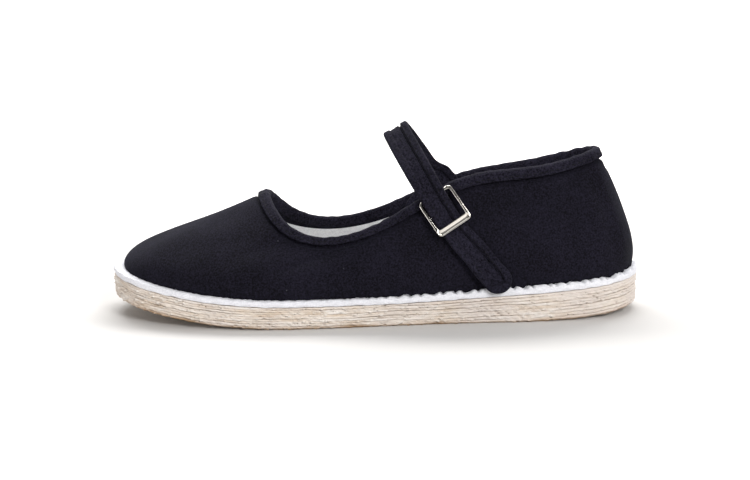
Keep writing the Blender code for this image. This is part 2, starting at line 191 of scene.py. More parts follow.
# %% [markdown]
# ## The table and the studio lights
# The table is one plane whose back edge is pulled up, with the corner bevelled round, so no
# line shows behind the shoe. A long soft box hangs over it, behind the shoe and along it,
# so the faint shadow falls in front of the sole and fades at the toe and the heel. A
# smaller lamp on the right shows the cloth and gives the buckle its bright lines. A weak
# low one on the left fills the shadow under the toe, and one more keeps the back white.
# The world is a pale sky, dimmer in front, so the buckle has something dark to reflect.

# %% Table and lights
TABLE_BACK = 1.6
TABLE_FRONT = 14
TABLE_HALF = 10
BOARD_RISE = 2
BEND_RADIUS = 0.5
BEND_FACES = 12
bpy.ops.object.select_all(action="DESELECT")
bpy.ops.mesh.primitive_plane_add(size=1)
table = bpy.context.object
table.name = "table"
with editing(table) as bm:
    for vert in bm.verts:
        vert.co.x *= 2 * TABLE_HALF
        vert.co.y = TABLE_BACK if vert.co.y > 0 else -TABLE_FRONT
    for edge in bm.edges:
        edge.select = all(vert.co.y > 0 for vert in edge.verts)
    bpy.ops.mesh.extrude_region_move(TRANSFORM_OT_translate={"value": (0, 0, BOARD_RISE)})
bend = table.modifiers.new("bend", "BEVEL")
bend.width = BEND_RADIUS
bend.segments = BEND_FACES
bpy.ops.object.modifier_apply(modifier="bend")
bpy.ops.object.shade_smooth()
# Board painted a matt light grey: bright enough to turn white under the lamps, and no more.
painted_board = new_material("painted_board", Base_Color=srgb("#cbc9c7"), Roughness=0.9)[0]
paint(table, painted_board)

# Each lamp's name, place, length, depth and watts, and the place that it looks at.
LAMPS = (
    ("light_above", (0.0, 0.66, 1.00), 1.5, 0.4, 22, (0, 0, 0)),
    ("light_front", (0.52, -1.03, 0.70), 0.45, 0.45, 11.5, (0, 0, 0)),
    ("light_low", (-0.75, -0.75, 0.16), 0.5, 0.5, 2.0, (-0.08, -0.02, 0)),
    ("light_board", (0.0, 0.55, 0.9), 1.2, 1.2, 26, (0, 1.7, 0.25)),
)
for name, place, length, depth, watts, target in LAMPS:
    lamp = bpy.data.objects.new(name, bpy.data.lights.new(name, "AREA"))
    scene.collection.objects.link(lamp)
    lamp.data.shape = "RECTANGLE"
    lamp.data.size = length
    lamp.data.size_y = depth
    lamp.data.energy = watts
    lamp.location = place
    lamp.rotation_euler = (Vector(target) - Vector(place)).to_track_quat("-Z", "Y").to_euler()

HORIZON = 0.30
ZENITH = 1.1
FRONT_DIM = 0.14
world = bpy.data.worlds.new("studio")
scene.world = world
world.use_nodes = True
sky = world.node_tree
direction = put(sky, "ShaderNodeTexCoord").outputs["Generated"]
axes = put(sky, "ShaderNodeSeparateXYZ", {0: direction}).outputs
by_height = ranged(sky, axes["Z"], 0.05, 1, HORIZON, ZENITH)
by_side = ranged(sky, axes["Y"], -0.7, 0.2, FRONT_DIM, 1)
brightness = math_of(sky, "MULTIPLY", by_height, by_side)
sky.links.new(brightness, sky.nodes["Background"].inputs["Strength"])
sky.nodes["Background"].inputs["Color"].default_value = (1, 1, 1, 1)

# %% [markdown]
# ## Reading the CAD cages
# A CAD solid arrives as loose triangles. A copy of it is merged and turned back into quads,
# and then its points lie in regular rows and columns round the shoe. Walking straight on
# through the crossings, as Blender's loop select does, gives the rows in order.

# %% Cages and rows
def cad_copy(node):
    """A copy of one solid, its triangles merged and turned back into quads."""
    cage = frame["nodes"][node].copy()
    cage.data = cage.data.copy()
    cage.name = node + "_cage"
    cage.parent = None
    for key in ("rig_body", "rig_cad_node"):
        del cage[key]
    scene.collection.objects.link(cage)
    with editing(cage):
        bpy.ops.mesh.select_all(action="SELECT")
        bpy.ops.mesh.remove_doubles(threshold=0.01 * MM)
        bpy.ops.mesh.tris_convert_to_quads(
            face_threshold=math.pi, shape_threshold=math.pi, topology_influence=2
        )
    return cage


def ahead(edge, vert):
    """The edge that goes straight on through a crossing of four, or None."""
    beside = {other for face in edge.link_faces for other in face.edges}
    onward = [other for other in vert.link_edges if other not in beside]
    return onward[0] if len(onward) == 1 else None


def walk(vert, direction):
    """The vertices met by leaving one in a direction and going straight on."""
    toward = Vector(direction)
    edge = max(
        vert.link_edges,
        key=lambda e: (e.other_vert(vert).co - vert.co).normalized().dot(toward),
    )
    met = [vert]
    while edge is not None and edge.other_vert(met[-1]) is not vert:
        met.append(edge.other_vert(met[-1]))
        edge = ahead(edge, met[-1])
    return met


COLLAR_MIDDLE = 30 * MM


def rows_of(node, near, along, below, above):
    """A solid's points in rows along it: the row nearest a place, and those below and above."""
    cage = cad_copy(node)
    bm = bmesh.new()
    bm.from_mesh(cage.data)
    start = min(bm.verts, key=lambda vert: (vert.co - Vector(near)).length)
    columns = []
    for vert in walk(start, along):
        rise = Vector((COLLAR_MIDDLE - vert.co.x, -vert.co.y, 0)).normalized() / 2
        rise.z = 1
        down = walk(vert, -rise)[1 : below + 1] if below else []
        columns.append([v.co.copy() for v in down[::-1] + walk(vert, rise)[: above + 1]])
    bm.free()
    bpy.data.objects.remove(cage)
    return np.array(columns).swapaxes(0, 1)


def from_heel(rows, row=0):
    """Closed rows, started where one of them reaches furthest back at the heel."""
    return np.roll(rows, -int(rows[row, :, 0].argmax()), axis=1)


for node, solid in sorted(frame["nodes"].items()):
    print(node, "has", len(solid.data.polygons), "faces in the CAD model")

# %% [markdown]
# ## Smooth curves through the rows
# A cubic spline passes through every point of a row and bends evenly between them, like a
# thin batten. It can be sampled as finely as the cloth needs without leaving the shape of
# the solid. The lengths run along it give even spacing, and later the cloth's pattern.

# %% Splines and lengths
def spline(points, places, closed=False):
    """Points of the smooth curve through the given ones, at places counted in points."""
    count = len(points)
    flat = points.reshape(count, -1)
    if closed:
        ring = np.eye(count)
        bends = np.linalg.solve(
            4 * ring + np.roll(ring, 1, 0) + np.roll(ring, -1, 0),
            6 * (np.roll(flat, -1, 0) - 2 * flat + np.roll(flat, 1, 0)),
        )
    else:
        inner = 4 * np.eye(count - 2) + np.eye(count - 2, k=1) + np.eye(count - 2, k=-1)
        bends = np.zeros_like(flat)
        bends[1:-1] = np.linalg.solve(inner, 6 * (flat[2:] - 2 * flat[1:-1] + flat[:-2]))
    before = np.clip(np.floor(places).astype(int), 0, count - (1 if closed else 2))
    share = (places - before)[:, None]
    after = (before + 1) % count
    curve = (1 - share) * flat[before] + share * flat[after]
    curve += ((1 - share) ** 3 - (1 - share)) / 6 * bends[before]
    curve += (share**3 - share) / 6 * bends[after]
    return curve.reshape(len(places), *points.shape[1:])


def lengths(curve):
    """The distance run from the first point of a curve to each of its points."""
    steps = np.linalg.norm(np.diff(curve, axis=0), axis=-1)
    return np.concatenate([np.zeros_like(steps[:1]), np.cumsum(steps, axis=0)])


def shares(curve):
    """The share of a curve's length run at each of its points."""
    run = lengths(curve)
    return run / run[-1]


def even_places(points, count):
    """Places that cut a closed curve into equal lengths; the last is the first again."""
    fine = np.linspace(0, len(points), 32 * len(points) + 1)
    run = lengths(spline(points, fine, closed=True))
    return np.interp(np.linspace(0, run[-1], count + 1), run, fine)


def closed_surface(rows, around, across):
    """The rows' surface, closed round the shoe, at places around and across."""
    columns = spline(rows.swapaxes(0, 1), around, closed=True)
    return spline(columns.swapaxes(0, 1), across)


def outward(surface):
    """Unit normals of a surface closed round the shoe, whose last column is its first."""
    core = surface[:, :-1]
    along = np.roll(core, -1, 1) - np.roll(core, 1, 1)
    normal = np.cross(np.gradient(core, axis=0), along)
    normal /= np.linalg.norm(normal, axis=2, keepdims=True)
    return np.concatenate([normal, normal[:, :1]], axis=1)


squares = spline(np.array([0.0, 1, 4, 9]), np.array([1.5]))
print("a smooth curve through 0, 1, 4 and 9 is at", squares[0].round(2), "between 1 and 4")

# %% [markdown]
# ## Laying a grid as cloth
# Each piece of cloth is a grid laid on its surface. Its UV map holds lengths in metres, as
# a sewing pattern does, so every weave keeps its size. A finished piece then stands for its
# CAD solid.

# %% Laying and finishing
def cloth_pattern(surface):
    """Lengths round a surface and across it: its pattern if the cloth were laid flat."""
    return np.stack([lengths(surface.swapaxes(0, 1)).T, lengths(surface)], axis=2)


def lay(name, surface, pattern):
    """A grid laid on a surface, with its cloth pattern in metres as its UV map."""
    rows, columns = surface.shape[:2]
    bpy.ops.object.select_all(action="DESELECT")
    bpy.ops.mesh.primitive_grid_add(
        x_subdivisions=columns - 1, y_subdivisions=rows - 1, size=1
    )
    piece = bpy.context.object
    piece.name = name
    piece.data.name = name
    piece.data.vertices.foreach_set("co", surface.reshape(-1))
    corners = np.empty(len(piece.data.loops), int)
    piece.data.loops.foreach_get("vertex_index", corners)
    piece.data.uv_layers[0].name = "Cloth"
    piece.data.uv_layers[0].data.foreach_set("uv", pattern.reshape(-1, 2)[corners].ravel())
    return piece


def close_up(piece, angle=50):
    """Merges the edges that meet, turns the faces outwards and shades them smooth."""
    with editing(piece):
        bpy.ops.mesh.select_all(action="SELECT")
        bpy.ops.mesh.remove_doubles(threshold=0.001 * MM)
        bpy.ops.mesh.normals_make_consistent(inside=False)
    bpy.ops.object.shade_smooth_by_angle(angle=math.radians(angle))
    triangles = sum(len(face.vertices) - 2 for face in piece.data.polygons)
    print(piece.name, "has", triangles, "triangles")


def finish_piece(piece, nodes):
    """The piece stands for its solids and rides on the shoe."""
    if nodes:
        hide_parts(*nodes)
    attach(piece, "root")


flat_square = np.array([[[0.0, 0, 0], [1, 0, 0]], [[0, 1, 0], [1, 1, 0]]])
print("far corner of a flat square's pattern:", cloth_pattern(flat_square)[1, 1])

# %% [markdown]
# ## Hand-made unevenness
# Nothing on a hand-sewn shoe is quite even. Sums of a few waves with seeded phases give a
# soft, closed unevenness that comes out the same at every run, for the stitches' spacing,
# the swell of the cloth and the plies' wandering lines.

# %% Unevenness
def uneven(share, lowest, highest, seed):
    """Soft noise along a closed line, from -1 to 1; share runs from 0 to 1 once round."""
    chance = np.random.default_rng(seed)
    total = np.zeros_like(share)
    for wave in range(lowest, highest + 1):
        total += chance.normal() * np.cos(2 * np.pi * (wave * share + chance.random()))
    return np.clip(total / math.sqrt(highest - lowest + 1), -2, 2) / 2


def uneven_sheet(share, height, waves_round, waves_up, seed, count=24):
    """Soft noise over a closed band, from about -1 to 1; height runs from 0 to 1 up it."""
    chance = np.random.default_rng(seed)
    total = np.zeros(np.broadcast(share, height).shape)
    for _ in range(count):
        around = chance.integers(waves_round[0], waves_round[1] + 1)
        up = chance.uniform(*waves_up) * chance.choice((-1, 1))
        total += np.cos(2 * np.pi * (around * share + up * height + chance.random()))
    return total / math.sqrt(count)


def smooth_step(value, low, high):
    """0 below low, 1 above high, and a smooth rise between."""
    share = np.clip((value - low) / (high - low), 0, 1)
    return share * share * (3 - 2 * share)


def bump(value, centre, width):
    """A soft rise of height 1 round a centre."""
    return np.exp(-(((value - centre) / width) ** 2))


print("a wave of unevenness runs from", uneven(np.linspace(0, 1, 99), 3, 9, 1).min().round(2))

# %% [markdown]
# ## Black cotton cloth
# The upper is a plain black cotton twill. Close to, it is not black but a very dark blue
# grey: its short nap catches light at the rims, and pale lint sits on it. The shader is
# rough with a little sheen. The weave comes from two crossing waves on the cloth's own UV
# map, which is in metres, so the thread spacing is a real one. Threads of 0.4 mm would be
# lost in the render, so they are drawn 0.8 mm apart.

# %% Cloth materials
THREAD = 0.8 * MM
NAP = 0.8 * MM
PATCH_SCALE = 45
LINT_SPACING = 9 * MM


def weave(tree, thread, lean):
    """The height of a weave from 0 to 1, its threads a given distance apart."""
    cloth = put(tree, "ShaderNodeUVMap", uv_map="Cloth").outputs["UV"]
    turn = {"Vector": cloth, "Rotation": (0, 0, math.radians(lean))}
    turned = put(tree, "ShaderNodeMapping", turn).outputs["Vector"]
    # At scale 1 the bands of a wave texture lie pi / 10 apart.
    wave = {"Scale": math.pi / (10 * thread), "Distortion": 1.2, "Detail": 2, "Detail Scale": 1.5}
    wave["Vector"] = turned
    warp, weft = (
        put(tree, "ShaderNodeTexWave", wave, bands_direction=axis).outputs["Fac"] for axis in "XY"
    )
    return math_of(tree, "MULTIPLY", warp, weft)


# The nap counts this many times as much as the patches, and their sum takes this range.
NAP_WEIGHT = 3.4
SHADE_RANGE = (1.65, 2.85)
# Size of one piece of lint, as shares of the lint spacing: its full part and its rim.
LINT_RANGE = (0.015, 0.05)
LINT_COLOUR = "#9a9ba8"


def cloth_material(name, dark, light, thread, lean, depth, lint, **surface):
    """A woven cotton: two near shades in soft patches, a weave, a nap and some lint."""
    material, tree, shader = new_material(name, **surface)
    place = put(tree, "ShaderNodeTexCoord").outputs["Object"]
    patches = noise(tree, place, PATCH_SCALE, 3)
    nap = noise(tree, place, 1 / NAP, 2, 0.7)
    height = weave(tree, thread, lean)
    both = math_of(tree, "MULTIPLY_ADD", nap, NAP_WEIGHT, patches)
    colour = mixed(tree, ranged(tree, both, *SHADE_RANGE), srgb(dark), srgb(light))
    flecks = put(
        tree, "ShaderNodeTexVoronoi", {"Vector": place, "Scale": 1 / LINT_SPACING, "Randomness": 1}
    )
    fleck_share = ranged(tree, flecks.outputs["Distance"], *LINT_RANGE, lint, 0)
    linted = mixed(tree, fleck_share, colour, srgb(LINT_COLOUR))
    tree.links.new(linted, shader.inputs["Base Color"])
    fine = relief(tree, nap, 0.5, 0.5 * depth)
    woven = relief(tree, height, 0.8, depth, Normal=fine)
    tree.links.new(woven, shader.inputs["Normal"])
    return material


# Cotton twill dyed black: rough, a faint blue sheen from its nap, some lint.
black_cotton_twill = cloth_material(
    "black_cotton_twill", "#08070c", "#1f1d29", THREAD, 45, 0.09 * MM, 0.2,
    Roughness=0.95, Specular_IOR_Level=0.1, Sheen_Weight=0.03, Sheen_Roughness=0.5,
    Sheen_Tint=srgb("#b9c0d8"),
)
# Bias tape of plain black cotton: its threads show more than the twill's, dark and light.
black_bias_tape = cloth_material(
    "black_bias_tape", "#040308", "#282633", 0.7 * THREAD, 20, 0.09 * MM, 0.1,
    Roughness=0.95, Specular_IOR_Level=0.1, Sheen_Weight=0.03, Sheen_Roughness=0.5,
    Sheen_Tint=srgb("#c4c6d4"),
)
# Bleached cotton over the edge of the top ply: matt, with a faint cold cast.
bleached_cotton = cloth_material(
    "bleached_cotton", "#e0e0e6", "#f0f0f4", THREAD, 0, 0.08 * MM, 0,
    Roughness=0.9, Specular_IOR_Level=0.2, Sheen_Weight=0.05,
)
# Unbleached cotton lining: soft and matt, a shade warmer than the white ply.
cotton_lining = cloth_material(
    "unbleached_cotton_lining", "#dededf", "#f4f4f4", THREAD, 0, 0.10 * MM, 0,
    Roughness=0.95, Specular_IOR_Level=0.2, Sheen_Weight=0.05,
)
# Polyester sewing thread, black: smoother than the cloth it lies on.
black_thread = new_material(
    "black_thread", Base_Color=srgb("#0b0b0e"), Roughness=0.8, Specular_IOR_Level=0.2
)[0]
print("cloth materials:", ", ".join(m.name for m in bpy.data.materials))

# %% [markdown]
# ## The upper
# The upper is cut from cloth, lined with white cotton, closed by one seam down the heel and
# sewn through the top ply with a hand stitch about every 5 mm. It could be made by cloth
# simulation, but a lasted shoe is held tight on its sole and has no loose folds, so the
# folds are laid one by one: each is a soft trough between two points of the cloth. Each stitch
# pulls the foot of the cloth down and in, which leaves a scalloped edge over the white ply.

# %% The upper's surface
ROUND_COUNT = 768
SOLE_STITCH = 5.1 * MM
# How far a stitch strays from its even place, in stitches.
STITCH_STRAY = 0.75
RIM = 11
shell_rows = from_heel(rows_of("upper", near=(0, -0.06, 0), along=(-1, 0, 0), below=0, above=23))
around = even_places(shell_rows[0], ROUND_COUNT)
# Places across, counted in rows of the CAD wall: close at the foot and under the tape's edge.
ACROSS = ((0, 1, 6), (1, 7, 22), (7, 10, 36))
outer_places = np.concatenate(
    [np.linspace(low, high, count, endpoint=False) for low, high, count in ACROSS]
    + [np.linspace(10, RIM, 4)]
)
inner_places = np.linspace(0, len(shell_rows) - RIM - 2, 24)
outer = closed_surface(shell_rows[: RIM + 1], around, outer_places)
inner = closed_surface(shell_rows[RIM + 1 :], around, inner_places)
TAPE_NEAR = (-0.02, -0.06, 0.03)
tape_edge = rows_of("topline_binding", near=TAPE_NEAR, along=(-1, 0, 0), below=0, above=0)[0]
edge_line = spline(tape_edge, even_places(tape_edge, ROUND_COUNT), closed=True)
edge_tree = KDTree(len(edge_line))
for index, point in enumerate(edge_line):
    edge_tree.insert(point, index)
edge_tree.balance()
edge_away = np.array([edge_tree.find(point)[2] for point in outer.reshape(-1, 3)])
edge_away = edge_away.reshape(outer.shape[:2])
print("rows by their distance to the tape's edge, mm:", (edge_away.mean(axis=1) / MM).round(1))
foot_length = lengths(outer[0])[-1]
round_share = shares(outer[0])
wall_run = lengths(outer)
stitch_count = round(foot_length / SOLE_STITCH)
stitch_phase = round_share * stitch_count + STITCH_STRAY * uneven(round_share, 20, 70, 5)
print("the upper's foot is", round(foot_length / MM), "mm round,", stitch_count, "stitches")

# %% [markdown]
# ## Folds, seam and stitches of the upper
# The cloth's surface is moved along its own normals. Soft folds run down from the throat
# and the strap, the heel seam stands up as a ridge, and the tape's seam presses a groove
# under its edge. At the foot every stitch pulls the cloth in, and between two stitches it
# rides up over the white ply in an arch.

# %% The upper's folds and stitches
# Each fold runs between two points of the outer cloth: how far round from the heel seam,
# as a share, and how high up the wall, as a share. Width and depth are in millimetres.
FOLDS = (
    # from_round, from_up, to_round, to_up, width, depth
    (0.300, 0.95, 0.345, 0.35, 5.0, 0.50),
    (0.255, 0.90, 0.285, 0.30, 6.0, 0.35),
    (0.380, 0.80, 0.400, 0.30, 7.0, 0.35),
    (0.120, 0.85, 0.150, 0.25, 8.0, 0.40),
    (0.040, 0.95, 0.046, 0.08, 4.5, 0.80),
    (0.700, 0.95, 0.655, 0.35, 5.0, 0.50),
    (0.740, 0.90, 0.715, 0.30, 6.0, 0.35),
    (0.880, 0.85, 0.850, 0.25, 8.0, 0.40),
    (0.470, 0.60, 0.530, 0.60, 7.0, 0.30),
)


def fold_depth(share, up, length, height, fold):
    """How deep one soft trough is at each point, in metres."""
    from_round, from_up, to_round, to_up, width, depth = fold
    x, y = (share - from_round) * length, (up - from_up) * height
    dx, dy = (to_round - from_round) * length, (to_up - from_up) * height
    along = np.clip((x * dx + y * dy) / (dx * dx + dy * dy), 0, 1)
    away = np.hypot(x - along * dx, y - along * dy)
    ends = np.sin(np.pi * np.clip(along, 0.02, 0.98)) ** 0.5
    return depth * MM * ends * bump(away, 0, width * MM)


# The stitches hardly show at the toe and fully in the rear half.
TOE_SHARE = 0.22
SHOWS_FROM, SHOWS_FULLY = -0.02, 0.05


def shown_stitches(x):
    """How much the stitches show at places along the shoe, from TOE_SHARE to 1."""
    return TOE_SHARE + (1 - TOE_SHARE) * smooth_step(x, SHOWS_FROM, SHOWS_FULLY)


SCALLOP_DROP = 0.60 * MM
SCALLOP_RISE = 1.9 * MM
SCALLOP_SPREAD = 1.1
ARCH_ROUND = 0.7
FOOT_REACH = 2.2 * MM
STITCH_PULL = 0.45 * MM
SEAM_RIDGE = 0.55 * MM
SEAM_WIDTH = 1.1 * MM
SWELL = 0.22 * MM
TAPE_TROUGH = 1.2 * MM
TROUGH_HALF = 0.9 * MM
TAPE_STANDS = 1.2 * MM
FOOT_LOWERED = 0.4 * MM
up_share = wall_run / wall_run[-1]
share_grid = np.broadcast_to(round_share, up_share.shape)
arch = np.abs(np.sin(np.pi * stitch_phase)) ** ARCH_ROUND
sewn = shown_stitches(outer[0, :, 0])
sewn *= 1 + SCALLOP_SPREAD * uneven(round_share, 25, 80, 8)
foot_fade = bump(wall_run, 0, FOOT_REACH)
move = -sum(
    fold_depth(share_grid, up_share, foot_length, wall_run[-1].mean(), fold) for fold in FOLDS
)
move += SWELL * uneven_sheet(share_grid, up_share, (4, 22), (0.3, 2.2), 11)
move *= smooth_step(up_share, 0, 0.1) * (1 - smooth_step(up_share, 0.85, 1))
move -= STITCH_PULL * sewn * (1 - arch) * foot_fade
seam_away = np.minimum(round_share, 1 - round_share) * foot_length
below_tape = 1 - smooth_step(up_share, 0.8, 0.86)
move += SEAM_RIDGE * bump(seam_away, 0, SEAM_WIDTH) * below_tape
move -= 0.3 * SEAM_RIDGE * bump(seam_away, 2.6 * SEAM_WIDTH, SEAM_WIDTH) * below_tape
move -= TAPE_TROUGH * bump(np.maximum(edge_away - TAPE_STANDS, 0), 0, TROUGH_HALF)
outer = outer + outward(outer) * move[:, :, None]
outer[:, :, 2] += ((SCALLOP_RISE * arch - SCALLOP_DROP) * sewn - FOOT_LOWERED) * foot_fade
print("folds and stitches move the cloth by up to", round(abs(move).max() / MM, 2), "mm")

# %% [markdown]
# ## One mesh for cloth and lining
# The outer and inner surfaces join over the rim under the tape and below the foot, so the
# upper is one closed shell. Faces deeper inside than the turned-in black edge take the
# lining's material. The pattern starts at the toe, so the weave is straight where it shows.

# %% The upper's mesh
toe_column = ROUND_COUNT // 2
shell = np.concatenate([outer, inner, outer[:1]])
pattern = cloth_pattern(shell)
pattern[:, :, 0] -= pattern[:, toe_column : toe_column + 1, 0].copy()
cotton_upper = lay("cotton_upper", shell, pattern)
LINING_FROM = 6.2 * MM
face_rows = np.repeat(np.arange(len(shell) - 1), ROUND_COUNT)
depth_inside = lengths(inner).mean(axis=1)
first_lined = len(outer) + int(np.searchsorted(depth_inside, LINING_FROM))
lined = (face_rows >= first_lined) & (face_rows < len(shell) - 2)
paint(cotton_upper, black_cotton_twill, cotton_lining)
cotton_upper.data.polygons.foreach_set("material_index", lined.astype(np.int32))
close_up(cotton_upper)
finish_piece(cotton_upper, ["upper"])

# %% [markdown]
# ## The white ply
# Under the upper lies one ply bound in bleached cotton. It swells a little between the
# stitches, where the arches of the black cloth leave it free. It is the same closed wall
# as in the CAD model, sampled finely, with rings that close it above and below.

# %% The white ply
PUFF = 1.7 * MM
PLY_SIDE_ROWS = 13
PLY_RINGS = (0.012, 0.03, 0.055, 0.085, 0.14, 0.6, 1.0)
# How much each of the last rows swells, from the wall over the edge to the middle.
PUFF_ROWS = (0.15, 0.3, 0.5, 0.75, 0.95, 1, 1, 0.9, 0.6, 0.2, 0, 0)
PUFF_SUNK = 0.3
PLY_WAVES = 0.12 * MM
# The middle line of the sole is this share as long as the sole.
MIDDLE_LINE = 0.8
ply_rows = from_heel(
    rows_of("top_ply", near=(-0.02, -0.06, 0.0118), along=(-1, 0, 0), below=2, above=2)
)
ply_around = even_places(ply_rows[0], ROUND_COUNT)


def toward_middle(ring, share):
    """A ring drawn in towards the long middle line of the sole."""
    middle = ring * (MIDDLE_LINE, 0, 1)
    return ring + (middle - ring) * share


def capped(side, rings):
    """A side wall closed by rings that run in to the middle, above and below."""
    over = [toward_middle(side[-1], share) for share in rings]
    under = [toward_middle(side[0], share) for share in rings[::-1]]
    return np.stack([*under, *side, *over])


ply_side = closed_surface(ply_rows, ply_around, np.linspace(0, 4, PLY_SIDE_ROWS))
ply_share = shares(ply_side[0])
ply_phase = np.interp(ply_share, round_share, stitch_phase)
ply_arch = np.abs(np.sin(np.pi * ply_phase)) ** 1.2
ply = capped(ply_side, PLY_RINGS)
puff = PUFF * (ply_arch - PUFF_SUNK) * shown_stitches(ply_side[0, :, 0])
ply[-len(PUFF_ROWS) :, :, 2] += np.array(PUFF_ROWS)[:, None] * puff
ply_up = np.linspace(0, 1, PLY_SIDE_ROWS)[:, None]
ply_move = PLY_WAVES * uneven_sheet(ply_share, ply_up, (20, 90), (0, 2), 3)
wall = slice(len(PLY_RINGS), len(PLY_RINGS) + PLY_SIDE_ROWS)
ply[wall] += outward(ply_side) * ply_move[:, :, None]
white_ply = lay("white_bound_ply", ply, cloth_pattern(ply))
paint(white_ply, bleached_cotton)
close_up(white_ply, 80)
finish_piece(white_ply, ["top_ply"])

# %% [markdown]
# ## Pasted cotton plies
# The sole is a stack of old white and unbleached cloth, pasted layer on layer and trimmed
# with a knife, so its edge shows wandering lines where plies meet, small pits, and lumps
# where the knife tore the cloth. A wall round the sole's own outline is dented along those
# lines in code, because a repeated texture would show. Each point keeps as attributes how
# deep it lies in a line or pit, which sets the painted shade there, how high up it is and
# how white its ply is, so the colours stay together with the dents.

# %% The sole's edge
SOLE_COUNT = 1024
SOLE_ROWS = 57
LINE_DEPTH = 0.80 * MM
LINE_DEEPEST = 1.3
LINE_WIDTH = 0.016
PLY_STEP = 0.26 * MM
STEP_HALF = 0.012
LUMP = 0.20 * MM
FRAY = 0.10 * MM
PIT = 1.3
TORN = 0.9 * MM
LOWER_ROUND = 0.9 * MM
UPPER_ROUND = 0.35 * MM
HEEL_FROM, HEEL_FULLY = 0.105, 0.118
HEEL_SMOOTHER = 0.8
SOLE_RINGS = (0.03, 0.1, 0.3, 0.65, 1.0)
# Where each line between plies lies, as a share of the stack, and how deep it is.
PLY_LINES = (
    (0.13, 0.7), (0.25, 0.8), (0.36, 0.6), (0.47, 1.0),
    (0.57, 0.5), (0.67, 1.0), (0.78, 0.7), (0.90, 0.9),
)
sole_rows = from_heel(
    rows_of("sole", near=(-0.02, -0.06, 0.0044), along=(-1, 0, 0), below=7, above=9), row=4
)
wall_ends = np.stack([sole_rows[0], sole_rows[-1]])
middle_ring = sole_rows[len(sole_rows) // 2]
for end in wall_ends:
    end[:, :2] = middle_ring[:, :2]
stack_around = even_places(middle_ring, SOLE_COUNT)
ends = spline(wall_ends.swapaxes(0, 1), stack_around, closed=True).swapaxes(0, 1)
up = np.linspace(0, 1, SOLE_ROWS)[:, None, None]
stack = ends[0] * (1 - up) + ends[1] * up
stack_share = shares(ends[0])
level = np.linspace(0, 1, SOLE_ROWS)[:, None] + np.zeros_like(stack_share)
wander = 0.028 * uneven(stack_share, 4, 14, 21) + 0.012 * uneven(stack_share, 15, 60, 22)
groove = np.zeros_like(level)
# Each ply stands out or lies back by its own offset, and the next one starts at its line.
offsets = [uneven(stack_share, 2, 36, 120 + number) for number in range(len(PLY_LINES) + 1)]
ledge = np.zeros_like(level) + offsets[0]
steps = np.diff(offsets, axis=0)
for number, (height, depth) in enumerate(PLY_LINES):
    line = height + wander + 0.014 * uneven(stack_share, 3, 18, 30 + number)
    shown = 0.5 + 0.6 * smooth_step(uneven(stack_share, 2, 12, 50 + number), -0.4, 0.3)
    wide = 0.7 + 0.5 * smooth_step(uneven(stack_share, 9, 50, 70 + number), -0.5, 0.5)
    groove += depth * shown * bump(level, line, LINE_WIDTH * wide)
    ledge += steps[number] * smooth_step(level, line - STEP_HALF, line + STEP_HALF)
torn = smooth_step(uneven_sheet(stack_share, level, (50, 200), (2, 7), 91, 40), 0.75, 1.7)
pits = smooth_step(uneven_sheet(stack_share, level, (90, 260), (4, 9), 94, 40), 1.35, 1.9)
# Pits sink the wall, and through the groove they also get painted shade in the colour.
groove += PIT * pits
lumps = uneven_sheet(stack_share, level, (30, 160), (1, 5), 92, 40)
fray = uneven_sheet(stack_share, level, (150, 420), (5, 14), 93, 60)
dent = -LINE_DEPTH * np.clip(groove, 0, LINE_DEEPEST) + LUMP * lumps + FRAY * fray
at_heel = smooth_step(stack[:, :, 0], HEEL_FROM, HEEL_FULLY)
dent += (TORN * torn + PLY_STEP * ledge) * (1 - HEEL_SMOOTHER * at_heel)
dent -= LOWER_ROUND * (1 - smooth_step(level, 0, 0.07))
dent -= UPPER_ROUND * smooth_step(level, 0.95, 1)
stack = stack + outward(stack) * dent[:, :, None]
stack_all = capped(stack, SOLE_RINGS)
plies = lay("pasted_plies", stack_all, cloth_pattern(stack_all))
print("the plies' edge is dented by up to", round(abs(dent).max() / MM, 2), "mm")

# %% [markdown]
# ## What each point of the plies keeps
# The rings above and below the wall have no lines. Those below rise in level from the edge
# to the middle, so the underside is rubbed brown only round its rim.

# %% The plies' attributes
UNDER_LEVELS = (0.5, 0.45, 0.4, 0.3, 0.12)
wall = slice(len(SOLE_RINGS), len(SOLE_RINGS) + SOLE_ROWS)
# How deep each point lies in a line or pit, kept for the painted shade there.
groove_shade = np.zeros(stack_all.shape[:2])
groove_shade[wall] = np.clip(groove, 0, 1)
shown_level = np.ones(stack_all.shape[:2])
shown_level[: wall.start] = np.array(UNDER_LEVELS)[:, None]
shown_level[wall] = level
shown_tone = np.full(stack_all.shape[:2], 0.5)
shown_tone[wall] = np.clip(0.5 + 0.6 * ledge + 0.5 * torn, 0, 1)
for name, values in (("groove", groove_shade), ("level", shown_level), ("tone", shown_tone)):
    plies.data.attributes.new(name, "FLOAT", "POINT").data.foreach_set("value", values.ravel())
    print("mean", name, "of the points:", values.mean().round(2))

# %% [markdown]
# ## Colour of the plies
# Some plies are whiter than others, and this tone follows the steps of the mesh. The lines
# and pits between plies are darkened with painted shade, and the lowest edge is rubbed brown from
# walking.

# %% The plies' material
CREAM, WHITE, GREYER = "#d9c9b8", "#eee7e0", "#ddd3cc"
# The first brown is painted shade for the lines and pits between plies; the second is a real
# rubbed stain.
LINE_SHADE_BROWN, RUBBED_BROWN = "#8f7d6c", "#9c7a52"
# The stain covers what lies below the first of these levels and is gone at the second.
STAIN_RANGE = (0.18, 0.33)
